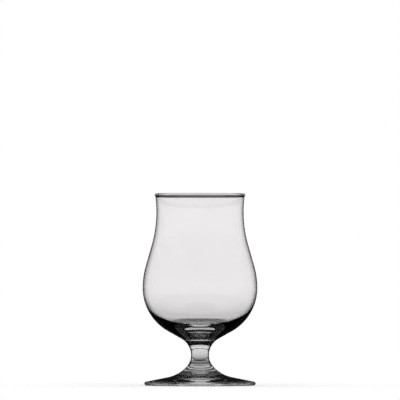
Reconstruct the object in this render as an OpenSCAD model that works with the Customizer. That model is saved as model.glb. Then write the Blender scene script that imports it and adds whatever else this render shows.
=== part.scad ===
// Whisky nosing glass: a blown bowl, a drawn stem and a pressed foot, welded hot.
// Millimetres, +Z up. The origin is on the axis, at the plane the foot stands on.
// The outside is one run of arcs and straight stretches that meet without a corner.

/* [Whole glass] */
// Height from the table to the top of the rim
glass_h = 115; // [108:0.5:124]

/* [Rim and neck] */
// Outside diameter at the neck, the narrow place below the rim
neck_d = 52.2; // [46:0.1:58]
// Depth of the neck below the top of the rim
neck_depth = 11.3; // [7:0.1:16]
// How far the lip leans out between the neck and the rim
lip_flare = 0.7; // [0.2:0.05:2.5]
// Diameter of the fire-polished bead round the rim
bead_d = 2; // [1.6:0.1:2.6]
// Radius of the hollow blend between the bead and the wall
bead_blend_r = 2; // [0.8:0.1:4]

/* [Bowl] */
// Outside diameter at the belly, the widest place
belly_d = 68.6; // [64:0.1:76]
// Height of the belly above the table
belly_z = 58.3; // [54:0.1:66]
// Thickness of the blown wall
wall_t = 1.2; // [0.9:0.05:1.5]
// Length of the straight stretch between neck and belly
shoulder_l = 13; // [4:0.1:24]
// Share of the shoulder curve that bends outwards, on the neck side
shoulder_split = 0.6; // [0.35:0.01:0.7]
// Length of the straight stretch between belly and stem
cone_l = 9.2; // [4:0.1:14]
// Thickness of solid glass under the middle of the cavity
base_t = 4.2; // [3:0.1:9]
// Radius of the cavity's lower corner, as a share of the cavity's depth below the belly
cavity_corner = 0.92; // [0.7:0.01:0.97]

/* [Stem] */
// Diameter at the waist, the thinnest place of the stem
waist_d = 10.7; // [8:0.1:14]
// Height of the waist above the table
waist_z = 18; // [16:0.1:22]
// Radius of the flare from the waist up to the bowl
upper_flare_r = 11.3; // [9:0.1:15]
// Radius of the flare from the waist down to the foot
lower_flare_r = 9.8; // [6:0.1:10]

/* [Foot] */
// Outside diameter of the foot
foot_d = 66.6; // [58:0.1:76]
// Thickness of the rounded edge of the foot
edge_t = 2.2; // [2:0.1:3.6]
// Slope of the top of the foot near its edge, in degrees
foot_slope = 11.5; // [7:0.5:14]
// Radius of the sweep between the slope and the stem
sweep_r = 20.5; // [14:0.5:34]
// Width of the flat ring the glass stands on
ring_w = 3; // [1.5:0.1:6]
// Height of the hollow under the middle of the foot
hollow_h = 2; // [0.5:0.1:3]

/* [Hidden] */
$fn = 360;

clear_glass = [0.86, 0.89, 0.89, 0.45];
neck_r = neck_d / 2;
belly_r = belly_d / 2;
waist_r = waist_d / 2;
foot_r = foot_d / 2;
bead_r = bead_d / 2;
edge_r = edge_t / 2;
neck_z = glass_h - neck_depth;

// An S-curve joins two places where the outline stands upright. It is one arc, a straight stretch
// and an arc bent the other way. The two radii add up to s_sum, and the stretch leans by s_lean.
function s_sum(across, rise, straight) =
    (across * across + rise * rise - straight * straight) / (2 * across);
function s_lean(across, rise, straight) =
    let (radii = s_sum(across, rise, straight))
    atan2(rise, radii - across) - atan2(straight, radii);

// The point at a given angle on a circle.
function on_circle(middle, radius, angle) = middle + radius * [cos(angle), sin(angle)];

// The angle at which one point is seen from another.
function heading(from, to) = atan2(to[1] - from[1], to[0] - from[0]);

// Shoulder, from the neck down to the belly.
shoulder_across = belly_r - neck_r;
shoulder_rise = neck_z - belly_z;
shoulder_sum = s_sum(shoulder_across, shoulder_rise, shoulder_l);
shoulder_lean = s_lean(shoulder_across, shoulder_rise, shoulder_l);
neck_arc_r = shoulder_sum * shoulder_split;
belly_arc_r = shoulder_sum - neck_arc_r;
neck_arc_mid = [neck_r + neck_arc_r, neck_z];
belly_arc_mid = [belly_r - belly_arc_r, belly_z];

// Lower bowl and upper stem, from the belly down to the waist.
cone_across = belly_r - waist_r;
cone_rise = belly_z - waist_z;
cone_lean = s_lean(cone_across, cone_rise, cone_l);
under_arc_r = s_sum(cone_across, cone_rise, cone_l) - upper_flare_r;
under_arc_mid = [belly_r - under_arc_r, belly_z];
upper_flare_mid = [waist_r + upper_flare_r, waist_z];

// The bowl is welded to the stem where the straight stretch ends.
bowl_weld = on_circle(upper_flare_mid, upper_flare_r, 180 - cone_lean);

// Rim bead, on the middle of the wall. The lip arc runs from the neck into it.
bead_mid = [neck_r - wall_t / 2 + lip_flare, glass_h - bead_r];
lip_rise = bead_mid[1] - neck_z;
lip_mid_r = (lip_flare * lip_flare + lip_rise * lip_rise) / (2 * lip_flare);
lip_arc_r = lip_mid_r - wall_t / 2;
lip_arc_mid = [neck_r + lip_arc_r, neck_z];
lip_turn = asin(lip_rise / lip_mid_r);

// Blends that touch both the bead and one side of the wall. Their middles are bead_reach from the
// bead's middle, and at their own reach from the lip arc's middle.
bead_reach = bead_r + bead_blend_r;
outer_reach = lip_arc_r - bead_blend_r;
inner_reach = lip_arc_r + wall_t + bead_blend_r;
function blend_turn(reach) = 180 - lip_turn
    + acos((lip_mid_r * lip_mid_r + reach * reach - bead_reach * bead_reach) / (2 * lip_mid_r * reach));
outer_turn = blend_turn(outer_reach);
inner_turn = blend_turn(inner_reach);
outer_blend_mid = on_circle(lip_arc_mid, outer_reach, outer_turn);
inner_blend_mid = on_circle(lip_arc_mid, inner_reach, inner_turn);
outer_bead_turn = heading(outer_blend_mid, bead_mid);
inner_bead_turn = heading(inner_blend_mid, bead_mid);

// Cavity below the belly: a corner arc and a wide floor arc centred on the axis.
cavity_r = belly_r - wall_t;
floor_z = bowl_weld[1] + base_t;
cavity_depth = belly_z - floor_z;
corner_r = cavity_corner * cavity_depth;
corner_mid = [cavity_r - corner_r, belly_z];
floor_r = (cavity_r * cavity_r + cavity_depth * cavity_depth - 2 * cavity_r * corner_r)
    / (2 * (cavity_depth - corner_r));
floor_mid = [0, floor_z + floor_r];
floor_turn = atan2(corner_mid[0], floor_mid[1] - corner_mid[1]);

// Top of the foot: a slope that leaves the rounded edge, then a sweep that meets the lower flare.
edge_mid = [foot_r - edge_r, edge_r];
slope_end = on_circle(edge_mid, edge_r, 90 - foot_slope);
slope_up = [sin(foot_slope), cos(foot_slope)];
slope_out = [cos(foot_slope), -sin(foot_slope)];
lower_flare_mid = [waist_r + lower_flare_r, waist_z];
flare_height = (lower_flare_mid - slope_end) * slope_up;
flare_inset = (lower_flare_mid - slope_end) * slope_out;
sweep_shift = sqrt((flare_height - lower_flare_r) * (2 * sweep_r - lower_flare_r - flare_height));
sweep_end = slope_end + (flare_inset + sweep_shift) * slope_out;
sweep_mid = sweep_end + sweep_r * slope_up;
sweep_turn = heading(lower_flare_mid, sweep_mid);

// Depth of the arc areas in the foot.
foot_overlap = 0.9;

// The stem is welded to the foot where the lower flare meets the sweep.
foot_weld = on_circle(lower_flare_mid, lower_flare_r, 180 + sweep_turn);

// Underside of the foot: a shallow hollow inside the ring it stands on.
ring_inner_r = foot_r - edge_r - ring_w;
hollow_r = (ring_inner_r * ring_inner_r + hollow_h * hollow_h) / (2 * hollow_h);
hollow_mid = [0, hollow_h - hollow_r];

// The area under an arc. At depth 1 it ends at the chord; below 1 its ends reach further in, to that
// share of the radius, so that it overlaps the body it is joined to or cut from.
module arc_area(middle, radius, from, to, depth = 1) {
    intersection() {
        translate(middle) circle(r = radius);
        polygon([
            on_circle(middle, depth * radius, from),
            on_circle(middle, 2 * radius, from),
            on_circle(middle, 2 * radius, to),
            on_circle(middle, depth * radius, to)
        ]);
    }
}

// Everything inside the bowl's outline from the belly up, set in from the outside by inset.
module upper_bowl(inset) {
    lip_end = on_circle(lip_arc_mid, lip_arc_r + inset, 180 - lip_turn);
    difference() {
        union() {
            polygon([
                [0, belly_z],
                [belly_r - inset, belly_z],
                on_circle(belly_arc_mid, belly_arc_r - inset, shoulder_lean),
                on_circle(neck_arc_mid, neck_arc_r + inset, 180 + shoulder_lean),
                [neck_r - inset, neck_z],
                lip_end,
                [0, lip_end[1]]
            ]);
            arc_area(belly_arc_mid, belly_arc_r - inset, 0, shoulder_lean);
        }
        arc_area(neck_arc_mid, neck_arc_r + inset, 180, 180 + shoulder_lean);
        arc_area(lip_arc_mid, lip_arc_r + inset, 180 - lip_turn, 180);
    }
}

module rim_bead() {
    translate(bead_mid) circle(r = bead_r);
    difference() {
        polygon([
            on_circle(outer_blend_mid, bead_blend_r, outer_turn),
            on_circle(outer_blend_mid, bead_blend_r, outer_bead_turn),
            on_circle(inner_blend_mid, bead_blend_r, inner_bead_turn),
            on_circle(inner_blend_mid, bead_blend_r, inner_turn - 180)
        ]);
        arc_area(outer_blend_mid, bead_blend_r, outer_bead_turn, outer_turn);
        arc_area(inner_blend_mid, bead_blend_r, inner_turn - 180, inner_bead_turn);
    }
}

module lower_bowl() {
    polygon([
        [0, bowl_weld[1]],
        bowl_weld,
        on_circle(under_arc_mid, under_arc_r, -cone_lean),
        [belly_r, belly_z],
        [0, belly_z]
    ]);
    arc_area(under_arc_mid, under_arc_r, -cone_lean, 0);
}

module lower_cavity() {
    polygon([
        [0, floor_z],
        on_circle(floor_mid, floor_r, floor_turn - 90),
        [cavity_r, belly_z],
        [0, belly_z]
    ]);
    arc_area(floor_mid, floor_r, -90, floor_turn - 90);
    arc_area(corner_mid, corner_r, floor_turn - 90, 0);
}

module bowl() {
    color(clear_glass)
        rotate_extrude() {
            difference() {
                union() {
                    upper_bowl(0);
                    lower_bowl();
                }
                upper_bowl(wall_t);
                lower_cavity();
            }
            rim_bead();
        }
}

module stem() {
    color(clear_glass)
        rotate_extrude()
            difference() {
                polygon([
                    [0, foot_weld[1]],
                    foot_weld,
                    [waist_r, waist_z],
                    bowl_weld,
                    [0, bowl_weld[1]]
                ]);
                arc_area(lower_flare_mid, lower_flare_r, 180, 180 + sweep_turn);
                arc_area(upper_flare_mid, upper_flare_r, 180 - cone_lean, 180);
            }
}

module foot() {
    color(clear_glass)
        rotate_extrude()
            difference() {
                union() {
                    polygon([
                        [0, 0],
                        [edge_mid[0], 0],
                        [foot_r, edge_r],
                        slope_end,
                        sweep_end,
                        foot_weld,
                        [0, foot_weld[1]]
                    ]);
                    arc_area(edge_mid, edge_r, -90, 0, foot_overlap);
                    arc_area(edge_mid, edge_r, 0, 90 - foot_slope, foot_overlap);
                }
                arc_area(sweep_mid, sweep_r, 180 + sweep_turn, 270 - foot_slope, foot_overlap);
                translate(hollow_mid) circle(r = hollow_r);
            }
}

bowl();
stem();
foot();
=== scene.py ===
import math

import bmesh
import bpy
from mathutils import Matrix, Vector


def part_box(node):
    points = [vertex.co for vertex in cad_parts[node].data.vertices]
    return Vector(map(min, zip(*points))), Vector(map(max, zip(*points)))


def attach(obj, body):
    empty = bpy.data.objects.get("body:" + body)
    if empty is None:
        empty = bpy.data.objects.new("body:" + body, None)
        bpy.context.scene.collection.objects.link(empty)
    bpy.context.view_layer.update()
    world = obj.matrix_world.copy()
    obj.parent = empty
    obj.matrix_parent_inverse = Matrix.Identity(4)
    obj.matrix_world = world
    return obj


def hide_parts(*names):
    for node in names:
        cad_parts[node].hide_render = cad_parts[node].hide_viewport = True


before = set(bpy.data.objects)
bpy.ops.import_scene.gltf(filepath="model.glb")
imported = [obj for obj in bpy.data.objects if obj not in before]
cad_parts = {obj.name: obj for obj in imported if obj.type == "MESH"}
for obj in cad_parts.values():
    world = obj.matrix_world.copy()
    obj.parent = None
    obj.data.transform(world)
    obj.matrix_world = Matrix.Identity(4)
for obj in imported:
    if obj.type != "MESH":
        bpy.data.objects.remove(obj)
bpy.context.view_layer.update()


# Bowl
# A tulip bowl blown from clear soda-lime glass, with an even thin wall and a thick base left by
# the gob. The rim is cut, flared a little and melted to a smooth round bead.
MM = 0.001
ROUND_STEPS = 192
LEAST_STEPS = 8
WELD_SLOT = 1
INSIDE_SLOT = 2
GLASS_IOR = 1.52
WIPED_ROUGHNESS = 0.03
bowl_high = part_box("bowl")[1]

# Millimetres between the points of an arc, and within which two points are one
FINE = 0.1
MIDDLING = 0.2
COARSE = 0.8
SAME_PLACE = 0.001

# Millimetres, but for the two shares, shoulder_split and cavity_corner
rim_top = bowl_high[2] / MM
belly_r = bowl_high[0] / MM
belly_z = 58.3
neck_r = 26.1
neck_depth = 11.3
lip_flare = 0.7
bead_r = 1
bead_blend_r = 2
wall = 1.2
shoulder_straight = 13
shoulder_split = 0.6
cone_straight = 9.2
base_glass = 4.2
cavity_corner = 0.92
waist_r = 5.35
waist_z = 18
upper_flare_r = 11.3


def s_curve(across, rise, straight):
    """Sum of the two radii, and the lean of the straight stretch between them, in degrees."""
    radii = (across ** 2 + rise ** 2 - straight ** 2) / (2 * across)
    lean = math.atan2(rise, radii - across) - math.atan2(straight, radii)
    return radii, math.degrees(lean)


def on_circle(middle, radius, angle):
    turn = math.radians(angle)
    return (middle[0] + radius * math.cos(turn), middle[1] + radius * math.sin(turn))


def heading(start, end):
    """The angle at which one point is seen from another, in degrees."""
    return math.degrees(math.atan2(end[1] - start[1], end[0] - start[0]))


def draw_point(outline, pen, radius, height):
    """Takes the outline straight to a point, in millimetres from the axis and above the table."""
    point = outline.verts.new((radius * MM, 0, height * MM))
    if pen:
        outline.edges.new((pen, point))
    return point


def draw_arc(outline, pen, middle, radius, start, end, spacing):
    """Takes the outline straight to the start of an arc, and then round it."""
    first = draw_point(outline, pen, *on_circle(middle, radius, start))
    turn = math.radians(end - start)
    swept = bmesh.ops.spin(
        outline,
        geom=[first],
        cent=(middle[0] * MM, 0, middle[1] * MM),
        axis=(0, -1, 0),
        angle=turn,
        steps=max(LEAST_STEPS, round(abs(turn) * radius / spacing)),
    )
    return next(part for part in swept["geom_last"] if isinstance(part, bmesh.types.BMVert))


def make_object(form, name):
    """Turns a finished form into an object of the scene."""
    mesh = bpy.data.meshes.new(name)
    form.to_mesh(mesh)
    form.free()
    made = bpy.data.objects.new(name, mesh)
    bpy.context.collection.objects.link(made)
    return made


def spin_glass(outline, name, weld_heights):
    """Spins an outline into a closed piece. Its flat welds get the second material and a sharp edge."""
    bmesh.ops.spin(
        outline,
        geom=outline.verts[:] + outline.edges[:],
        cent=(0, 0, 0),
        axis=(0, 0, 1),
        angle=math.tau,
        steps=ROUND_STEPS,
        use_merge=True,
    )
    bmesh.ops.remove_doubles(outline, verts=outline.verts[:], dist=SAME_PLACE * MM)
    bmesh.ops.recalc_face_normals(outline, faces=outline.faces[:])
    for face in outline.faces:
        face.smooth = True
        for height in weld_heights:
            if all(abs(vert.co.z - height * MM) < SAME_PLACE * MM for vert in face.verts):
                face.material_index = WELD_SLOT
    for edge in outline.edges:
        slots = {face.material_index for face in edge.link_faces}
        edge.smooth = len(slots) == 1
    return make_object(outline, name)


def node(tree, kind, feeds, **settings):
    """Adds a node, sets it up, and feeds its inputs with plain values or other nodes' outputs."""
    made = tree.nodes.new(kind)
    for setting, value in settings.items():
        setattr(made, setting, value)
    for socket, value in feeds.items():
        if isinstance(value, bpy.types.NodeSocket):
            tree.links.new(value, made.inputs[socket])
        else:
            made.inputs[socket].default_value = value
    return made


def work_out(tree, operation, first, second=0.0):
    return node(tree, "ShaderNodeMath", {0: first, 1: second}, operation=operation).outputs[0]


def fade(tree, value, start, end, first=0.0, last=1.0):
    """Runs smoothly from first to last while the value goes from start to end."""
    ends = {"Value": value, "From Min": start, "From Max": end, "To Min": first, "To Max": last}
    return node(tree, "ShaderNodeMapRange", ends, interpolation_type="SMOOTHSTEP").outputs["Result"]


def paint_shade(tree, level, height, darkest, facing=None, lower_end=None, upper_end=None):
    """Paints shade into the glass's colour where it is seen edge on, or between two heights, or both.

    The facing and each end are a pair of values, between which the darkening comes or goes. The
    ends are in millimetres above the table.
    """
    shares = []
    if facing:
        edge_on = node(tree, "ShaderNodeLayerWeight", {"Blend": 0.5}).outputs["Facing"]
        shares.append(fade(tree, edge_on, facing[0], facing[1]))
    if lower_end:
        shares.append(fade(tree, height, lower_end[0] * MM, lower_end[1] * MM))
    if upper_end:
        shares.append(fade(tree, height, upper_end[0] * MM, upper_end[1] * MM, 1.0, 0.0))
    share = shares.pop()
    for other in shares:
        share = work_out(tree, "MINIMUM", share, other)
    lost = work_out(tree, "MULTIPLY", share, 1 - darkest)
    return work_out(tree, "MULTIPLY", level, work_out(tree, "SUBTRACT", 1.0, lost))


def hand_made_surface():
    """Ripples left by the tools and the cooling, and the faint film left by wiping."""
    film_from = 0.42
    film_full = 0.72
    dull_from = 0.35
    dull_full = 0.75
    dullest = 0.985
    group = bpy.data.node_groups.new("hand_made_surface", "ShaderNodeTree")
    for name, kind in (
        ("Place", "NodeSocketVector"),
        ("Stretch", "NodeSocketVector"),
        ("Ripples", "NodeSocketFloat"),
        ("Film", "NodeSocketFloat"),
    ):
        group.interface.new_socket(name, in_out="INPUT", socket_type=kind)
    for name in ("Ripple", "Roughness", "Clearness"):
        group.interface.new_socket(name, in_out="OUTPUT", socket_type="NodeSocketFloat")
    given = node(group, "NodeGroupInput", {}).outputs
    drawn = {0: given["Place"], 1: given["Stretch"]}
    drawn = node(group, "ShaderNodeVectorMath", drawn, operation="MULTIPLY").outputs["Vector"]
    wave = {"Vector": drawn, "Scale": given["Ripples"], "Detail": 1.5, "Roughness": 0.4, "Distortion": 0.6}
    wave = node(group, "ShaderNodeTexNoise", wave).outputs["Fac"]
    wipe = {"Vector": given["Place"], "Scale": 45.0, "Detail": 4.0, "Roughness": 0.62, "Distortion": 1.2}
    wipe = node(group, "ShaderNodeTexNoise", wipe).outputs["Fac"]
    rough = work_out(group, "MULTIPLY", fade(group, wipe, film_from, film_full), given["Film"])
    clear = fade(group, wipe, dull_from, dull_full, 1.0, dullest)
    node(group, "NodeGroupOutput", {"Ripple": wave, "Roughness": rough, "Clearness": clear})
    return group


surface_marks = hand_made_surface()


def new_material(name):
    """A new material that is made of nodes, and its shader."""
    material = bpy.data.materials.new(name)
    material.use_nodes = True
    return material, material.node_tree.nodes["Principled BSDF"]


def clear_glass(name, tint, clearness, ripples, ripple_height, stretch, painted_shades=(), scuffs=None):
    """Rippled clear glass with shade painted in some places. Scuffs: the height they end at, and their
    roughness.
    """
    material, shader = new_material(name)
    tree = material.node_tree
    shader.inputs["Transmission Weight"].default_value = 1
    shader.inputs["IOR"].default_value = GLASS_IOR
    place = node(tree, "ShaderNodeTexCoord", {}).outputs["Object"]
    height = node(tree, "ShaderNodeSeparateXYZ", {0: place}).outputs["Z"]
    marks = {"Place": place, "Stretch": stretch, "Ripples": ripples, "Film": WIPED_ROUGHNESS}
    marks = node(tree, "ShaderNodeGroup", marks, node_tree=surface_marks).outputs
    bump = node(tree, "ShaderNodeBump", {"Height": marks["Ripple"], "Distance": ripple_height * MM})
    tree.links.new(bump.outputs["Normal"], shader.inputs["Normal"])
    rough = marks["Roughness"]
    if scuffs:
        scuffed_z, scuffed_rough = scuffs
        worn = fade(tree, height, 0.0, scuffed_z * MM, scuffed_rough, 0.0)
        rough = work_out(tree, "MAXIMUM", rough, worn)
    tree.links.new(rough, shader.inputs["Roughness"])
    level = work_out(tree, "MULTIPLY", marks["Clearness"], clearness)
    for painted_shade in painted_shades:
        level = paint_shade(tree, level, height, **painted_shade)
    colour = node(tree, "ShaderNodeVectorMath", {0: tint, "Scale": level}, operation="SCALE")
    tree.links.new(colour.outputs["Vector"], shader.inputs["Base Color"])
    return material


def fused_glass():
    """The inside of a weld, where glass runs on into glass and light goes straight through."""
    material, shader = new_material("fused_weld")
    shader.inputs["Transmission Weight"].default_value = 1
    shader.inputs["IOR"].default_value = 1
    shader.inputs["Roughness"].default_value = 0
    shader.inputs["Base Color"].default_value = (1, 1, 1, 1)
    return material


neck_z = rim_top - neck_depth
shoulder_sum, shoulder_lean = s_curve(belly_r - neck_r, neck_z - belly_z, shoulder_straight)
neck_arc_r = shoulder_sum * shoulder_split
belly_arc_r = shoulder_sum - neck_arc_r
neck_arc_mid = (neck_r + neck_arc_r, neck_z)
belly_arc_mid = (belly_r - belly_arc_r, belly_z)
cone_sum, cone_lean = s_curve(belly_r - waist_r, belly_z - waist_z, cone_straight)
under_arc_r = cone_sum - upper_flare_r
under_arc_mid = (belly_r - under_arc_r, belly_z)
upper_flare_mid = (waist_r + upper_flare_r, waist_z)
bowl_weld = on_circle(upper_flare_mid, upper_flare_r, 180 - cone_lean)
bowl_weld_z = bowl_weld[1]

bead_mid = (neck_r - wall / 2 + lip_flare, rim_top - bead_r)
lip_rise = bead_mid[1] - neck_z
lip_mid_r = (lip_flare ** 2 + lip_rise ** 2) / (2 * lip_flare)
lip_arc_r = lip_mid_r - wall / 2
lip_arc_mid = (neck_r + lip_arc_r, neck_z)
lip_turn = math.degrees(math.asin(lip_rise / lip_mid_r))
bead_reach = bead_r + bead_blend_r
outer_reach = lip_arc_r - bead_blend_r
inner_reach = lip_arc_r + wall + bead_blend_r


def blend_turn(reach):
    """Where the middle of a bead blend is seen from the middle of the lip arc, in degrees."""
    share = (lip_mid_r ** 2 + reach ** 2 - bead_reach ** 2) / (2 * lip_mid_r * reach)
    return 180 - lip_turn + math.degrees(math.acos(share))


outer_turn = blend_turn(outer_reach)
inner_turn = blend_turn(inner_reach)
outer_blend_mid = on_circle(lip_arc_mid, outer_reach, outer_turn)
inner_blend_mid = on_circle(lip_arc_mid, inner_reach, inner_turn)
outer_bead_turn = heading(outer_blend_mid, bead_mid)
inner_bead_turn = heading(inner_blend_mid, bead_mid)

cavity_r = belly_r - wall
floor_z = bowl_weld_z + base_glass
cavity_depth = belly_z - floor_z
corner_r = cavity_corner * cavity_depth
corner_mid = (cavity_r - corner_r, belly_z)
floor_r = (cavity_r ** 2 + cavity_depth ** 2 - 2 * cavity_r * corner_r) / (2 * (cavity_depth - corner_r))
floor_mid = (0, floor_z + floor_r)
floor_turn = math.degrees(math.atan2(corner_mid[0], floor_mid[1] - belly_z))

outline = bmesh.new()
pen = draw_point(outline, None, 0, bowl_weld_z)
pen = draw_point(outline, pen, *bowl_weld)
pen = draw_arc(outline, pen, under_arc_mid, under_arc_r, -cone_lean, 0, COARSE)
pen = draw_arc(outline, pen, belly_arc_mid, belly_arc_r, 0, shoulder_lean, COARSE)
pen = draw_arc(outline, pen, neck_arc_mid, neck_arc_r, 180 + shoulder_lean, 180, COARSE)
pen = draw_arc(outline, pen, lip_arc_mid, lip_arc_r, 180, outer_turn, COARSE)
pen = draw_arc(outline, pen, outer_blend_mid, bead_blend_r, outer_turn, outer_bead_turn, FINE)
pen = draw_arc(outline, pen, bead_mid, bead_r, outer_bead_turn - 180, inner_bead_turn + 180, FINE)
pen = draw_arc(outline, pen, inner_blend_mid, bead_blend_r, inner_bead_turn, inner_turn - 180, FINE)
pen = draw_arc(outline, pen, lip_arc_mid, lip_arc_r + wall, inner_turn, 180, COARSE)
pen = draw_arc(outline, pen, neck_arc_mid, neck_arc_r + wall, 180, 180 + shoulder_lean, COARSE)
pen = draw_arc(outline, pen, belly_arc_mid, belly_arc_r - wall, shoulder_lean, 0, COARSE)
pen = draw_arc(outline, pen, corner_mid, corner_r, 0, floor_turn - 90, COARSE)
pen = draw_arc(outline, pen, floor_mid, floor_r, floor_turn - 90, -90, COARSE)
bowl = spin_glass(outline, "blown_bowl", [bowl_weld_z])

# Painted shade in the bowl's glass: dark where the wall and rim are seen edge on, a thin dark line at the
# foot of the bead, and a dark base up to about the cavity's floor
bead_foot = rim_top - 2 * bead_r
bead_start = (bead_foot - 0.6, bead_foot - 0.4)
painted_line_start = (bead_foot - 0.4, bead_foot - 0.25)
painted_line_end = (bead_foot + 0.15, bead_foot + 0.3)
base_shade_end = (floor_z - 0.85, floor_z + 1.15)
painted_wall_edge_shade = {"facing": (0.55, 0.87), "upper_end": bead_start, "darkest": 0.01}
painted_rim_edge_shade = {"facing": (0.38, 0.64), "lower_end": bead_start, "darkest": 0.01}
painted_rim_line = {"lower_end": painted_line_start, "upper_end": painted_line_end, "darkest": 0.01}
painted_base_shade = {"upper_end": base_shade_end, "darkest": 0.002}
blown = {
    "tint": (1, 0.991, 0.991),
    "clearness": 0.94,
    "ripples": 70,
    "ripple_height": 0.02,
    "stretch": (1, 1, 0.4),
}
bowl_painted_shades = (painted_wall_edge_shade, painted_rim_edge_shade, painted_rim_line, painted_base_shade)
weld_glass = fused_glass()
bowl.data.materials.append(clear_glass("blown_glass", **blown, painted_shades=bowl_painted_shades))
bowl.data.materials.append(weld_glass)
bowl.data.materials.append(clear_glass("blown_glass_inside", **blown))

# Faces turned to the axis, those of the cavity, take the glass without painted shade
for face in bowl.data.polygons:
    outwards = face.normal.x * face.center.x + face.normal.y * face.center.y
    if outwards < 0 and face.material_index != WELD_SLOT:
        face.material_index = INSIDE_SLOT
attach(bowl, "root")
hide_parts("bowl")


# Stem
# A short solid stem, drawn and pressed from its own gob of glass while hot. It flares from its
# waist to the welds at both ends, where the foot's wide top meets it below.

# Millimetres, but for the slope, which is in degrees
foot_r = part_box("foot")[1][0] / MM
lower_flare_r = 9.8
edge_r = 1.1
foot_slope = 11.5
sweep_r = 20.5

lower_flare_mid = (waist_r + lower_flare_r, waist_z)
edge_mid = (foot_r - edge_r, edge_r)
slope_end = on_circle(edge_mid, edge_r, 90 - foot_slope)
slope_sin = math.sin(math.radians(foot_slope))
slope_cos = math.cos(math.radians(foot_slope))
flare_out = lower_flare_mid[0] - slope_end[0]
flare_up = lower_flare_mid[1] - slope_end[1]
flare_height = flare_out * slope_sin + flare_up * slope_cos
flare_inset = flare_out * slope_cos - flare_up * slope_sin
sweep_shift = math.sqrt((flare_height - lower_flare_r) * (2 * sweep_r - lower_flare_r - flare_height))
slope_l = flare_inset + sweep_shift
sweep_mid = (
    slope_end[0] + slope_l * slope_cos + sweep_r * slope_sin,
    slope_end[1] - slope_l * slope_sin + sweep_r * slope_cos,
)
sweep_turn = heading(lower_flare_mid, sweep_mid)
foot_weld_z = on_circle(lower_flare_mid, lower_flare_r, 180 + sweep_turn)[1]

outline = bmesh.new()
pen = draw_point(outline, None, 0, foot_weld_z)
pen = draw_arc(outline, pen, lower_flare_mid, lower_flare_r, 180 + sweep_turn, 180, MIDDLING)
pen = draw_arc(outline, pen, upper_flare_mid, upper_flare_r, 180, 180 - cone_lean, MIDDLING)
pen = draw_point(outline, pen, 0, bowl_weld_z)
stem = spin_glass(outline, "drawn_stem", [foot_weld_z, bowl_weld_z])

# Painted shade in the stem's glass: dark where seen edge on, and darker at its top by the bowl's weld
painted_stem_edge_shade = {"facing": (0.38, 0.58), "darkest": 0.01}
painted_stem_top_shade = {"lower_end": (bowl_weld_z - 1.65, bowl_weld_z - 0.05), "darkest": 0.12}
drawn = {
    "tint": (0.995, 0.99, 1),
    "clearness": 0.7,
    "ripples": 120,
    "ripple_height": 0.01,
    "stretch": (1, 1, 1.6),
}
stem.data.materials.append(clear_glass("drawn_glass", **drawn, painted_shades=(painted_stem_edge_shade, painted_stem_top_shade)))
stem.data.materials.append(weld_glass)
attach(stem, "root")
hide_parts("stem")


# Foot
# A round foot pressed from a third gob and welded under the stem. Its top sweeps down to a slope
# and a rounded edge, and it stands on a flat ring with a shallow hollow inside it.

# Millimetres
ring_w = 3
hollow_h = 2

ring_inner_r = foot_r - edge_r - ring_w
hollow_r = (ring_inner_r ** 2 + hollow_h ** 2) / (2 * hollow_h)
hollow_mid = (0, hollow_h - hollow_r)
hollow_turn = math.degrees(math.asin(ring_inner_r / hollow_r))

outline = bmesh.new()
pen = draw_arc(outline, None, hollow_mid, hollow_r, 90, 90 - hollow_turn, COARSE)
pen = draw_arc(outline, pen, edge_mid, edge_r, -90, 90 - foot_slope, FINE)
pen = draw_arc(outline, pen, sweep_mid, sweep_r, 270 - foot_slope, 180 + sweep_turn, MIDDLING)
pen = draw_point(outline, pen, 0, foot_weld_z)
foot = spin_glass(outline, "pressed_foot", [foot_weld_z])

# Painted shade in the foot's glass: a dark band round the stem's root, 4 to 9.2 mm up, seen edge on
painted_foot_root_shade = {"facing": (0.38, 0.52), "lower_end": (4, 4.8), "upper_end": (8, 9.2), "darkest": 0.01}
ring_scuffs = (0.1, 0.45)
pressed = {
    "tint": (0.995, 0.99, 1),
    "clearness": 0.85,
    "ripples": 45,
    "ripple_height": 0.15,
    "stretch": (1, 1, 1.6),
}
pressed_glass = clear_glass("pressed_glass", **pressed, painted_shades=(painted_foot_root_shade,), scuffs=ring_scuffs)
foot.data.materials.append(pressed_glass)
foot.data.materials.append(weld_glass)
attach(foot, "root")
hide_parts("foot")


# Floor
# A round sheet of pale paper on the table, turned up into a low wall close behind and around the
# glass. The lens sees the sheet as plain white and looks through the wall, but light that the glass
# bends shows the wall and the sheet's shaded middle.
PAPER = 0.9
SHEET_SIDES = 96

# Millimetres: the sheet, and where its shade, its painted pool of light and its wall's shade begin and end
sheet_r = 137
sheet_top = 116.6
sheet_gap = 0.1
shade_from = 20
shade_to = 110
painted_spot_from = 6
painted_spot_to = 16
wall_full_z = 75

# Levels, where 1 is white: what is added for the lens, what the glass shows, and the share it mirrors
glow = 0.12
shade_inside = 0.14
shade_outside = 0.68
painted_spot_level = 0.3
wall_foot_level = 0.64
mirrored_share = 0.02


def ray_kinds(tree):
    """All kinds of rays, those that glass has bent or mirrored, and those that it has only mirrored."""
    rays = node(tree, "ShaderNodeLightPath", {}).outputs
    bent = work_out(tree, "MAXIMUM", rays["Is Glossy Ray"], rays["Is Transmission Ray"])
    mirrored = work_out(tree, "SUBTRACT", bent, rays["Is Transmission Ray"])
    return rays, bent, mirrored


sheet = bmesh.new()
bmesh.ops.create_circle(sheet, cap_ends=True, segments=SHEET_SIDES, radius=sheet_r * MM)
turned_up = bmesh.ops.extrude_edge_only(sheet, edges=sheet.edges[:])
raised = [part for part in turned_up["geom"] if isinstance(part, bmesh.types.BMVert)]
bmesh.ops.translate(sheet, verts=raised, vec=(0, 0, sheet_top * MM))
bmesh.ops.translate(sheet, verts=sheet.verts[:], vec=(0, 0, -sheet_gap * MM))
bmesh.ops.recalc_face_normals(sheet, faces=sheet.faces[:])
floor = make_object(sheet, "studio_floor")

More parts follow.
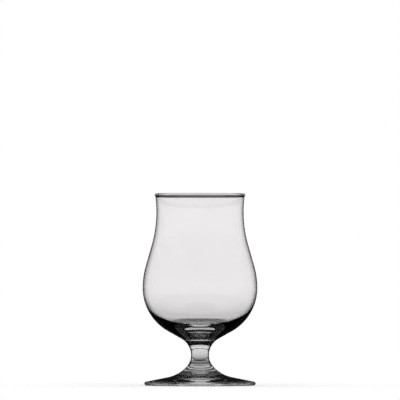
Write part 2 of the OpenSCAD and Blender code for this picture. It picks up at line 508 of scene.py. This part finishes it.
floor_paper, paper = new_material("floor_paper")
tree = floor_paper.node_tree
paper.inputs["Specular IOR Level"].default_value = 0
paper.inputs["Base Color"].default_value = (PAPER, PAPER, PAPER, 1)
paper.inputs["Emission Color"].default_value = (1, 1, 1, 1)
rays, bent, mirrored = ray_kinds(tree)
whiten = work_out(tree, "MULTIPLY", rays["Is Camera Ray"], glow)
tree.links.new(whiten, paper.inputs["Emission Strength"])
place = node(tree, "ShaderNodeTexCoord", {}).outputs["Object"]
part = node(tree, "ShaderNodeSeparateXYZ", {0: place}).outputs
flat = node(tree, "ShaderNodeCombineXYZ", {"X": part["X"], "Y": part["Y"]}).outputs["Vector"]
reach = node(tree, "ShaderNodeVectorMath", {0: flat}, operation="LENGTH").outputs["Value"]
shaded = fade(tree, reach, shade_from * MM, shade_to * MM, shade_inside, shade_outside)
# Painted pool of light in the sheet's shaded middle, under the stem, shown only to bent light
painted_light_spot = fade(tree, reach, painted_spot_from * MM, painted_spot_to * MM, painted_spot_level, 0.0)
shaded = work_out(tree, "MAXIMUM", shaded, painted_light_spot)
below = work_out(tree, "DIVIDE", part["Z"], wall_full_z * MM)
below = work_out(tree, "SUBTRACT", 1.0, work_out(tree, "MINIMUM", below, 1.0))
dimmed = work_out(tree, "MULTIPLY", work_out(tree, "MULTIPLY", below, below), 1 - wall_foot_level)
wall_level = work_out(tree, "SUBTRACT", 1.0, dimmed)
wall_reach = sheet_r * math.cos(math.pi / SHEET_SIDES) - sheet_gap
upright = work_out(tree, "GREATER_THAN", reach, wall_reach * MM)
level = node(tree, "ShaderNodeMix", {"Factor": upright, "A": shaded, "B": wall_level}).outputs["Result"]
kept = work_out(tree, "SUBTRACT", 1.0, work_out(tree, "MULTIPLY", mirrored, 1 - mirrored_share))
level = work_out(tree, "MULTIPLY", level, kept)
seen = node(tree, "ShaderNodeEmission", {"Strength": level}).outputs["Emission"]
nothing = node(tree, "ShaderNodeBsdfTransparent", {}).outputs["BSDF"]
straight = node(tree, "ShaderNodeMixShader", {0: upright, 1: paper.outputs["BSDF"], 2: nothing})
sheet_look = node(tree, "ShaderNodeMixShader", {0: bent, 1: straight.outputs["Shader"], 2: seen})
tree.links.new(sheet_look.outputs["Shader"], tree.nodes["Material Output"].inputs["Surface"])
floor.data.materials.append(floor_paper)


# Light
# Soft white studio light from all round. Seen through the glass it is dark just above the paper
# and bright overhead; mirrored on the glass it is the other way round, so that the two even out.
dark_sky = 0.023

# Degrees above the table
sky_from = 22
sky_to = 35

studio = bpy.data.worlds.new("studio")
studio.use_nodes = True
bpy.context.scene.world = studio
tree = studio.node_tree
way = node(tree, "ShaderNodeTexCoord", {}).outputs["Generated"]
rise = work_out(tree, "ARCSINE", node(tree, "ShaderNodeSeparateXYZ", {0: way}).outputs["Z"])
sky = fade(tree, rise, math.radians(sky_from), math.radians(sky_to), dark_sky, 1.0)
rays, bent, mirrored = ray_kinds(tree)
through = work_out(tree, "MULTIPLY", rays["Is Transmission Ray"], sky)
mirrored = work_out(tree, "MULTIPLY", mirrored, work_out(tree, "SUBTRACT", 1.0, sky))
elsewhere = work_out(tree, "SUBTRACT", 1.0, bent)
level = work_out(tree, "ADD", work_out(tree, "ADD", through, mirrored), elsewhere)
backdrop = tree.nodes["Background"]
backdrop.inputs["Color"].default_value = (1, 1, 1, 1)
tree.links.new(level, backdrop.inputs["Strength"])
bpy.context.scene.view_settings.view_transform = "Standard"


# Camera
# A long lens, far back and level with the upper part of the bowl. The picture is shifted up, so
# that the glass stands in its lower half.

# Metres, but for the sensor, which is in millimetres
sensor_w = 36
picture_w = 0.2393
picture_mid_z = 0.11086
camera_back = 6
camera_z = 0.1
sight = 50

lens = bpy.data.cameras.new("photo_lens")
lens.sensor_width = sensor_w
lens.lens = sensor_w * camera_back / picture_w
lens.clip_end = sight
lens.shift_y = (picture_mid_z - camera_z) / picture_w
camera = bpy.data.objects.new("photo_camera", lens)
camera.location = (0, -camera_back, camera_z)
camera.rotation_euler = (math.radians(90), 0, 0)
bpy.context.collection.objects.link(camera)
bpy.context.scene.camera = camera
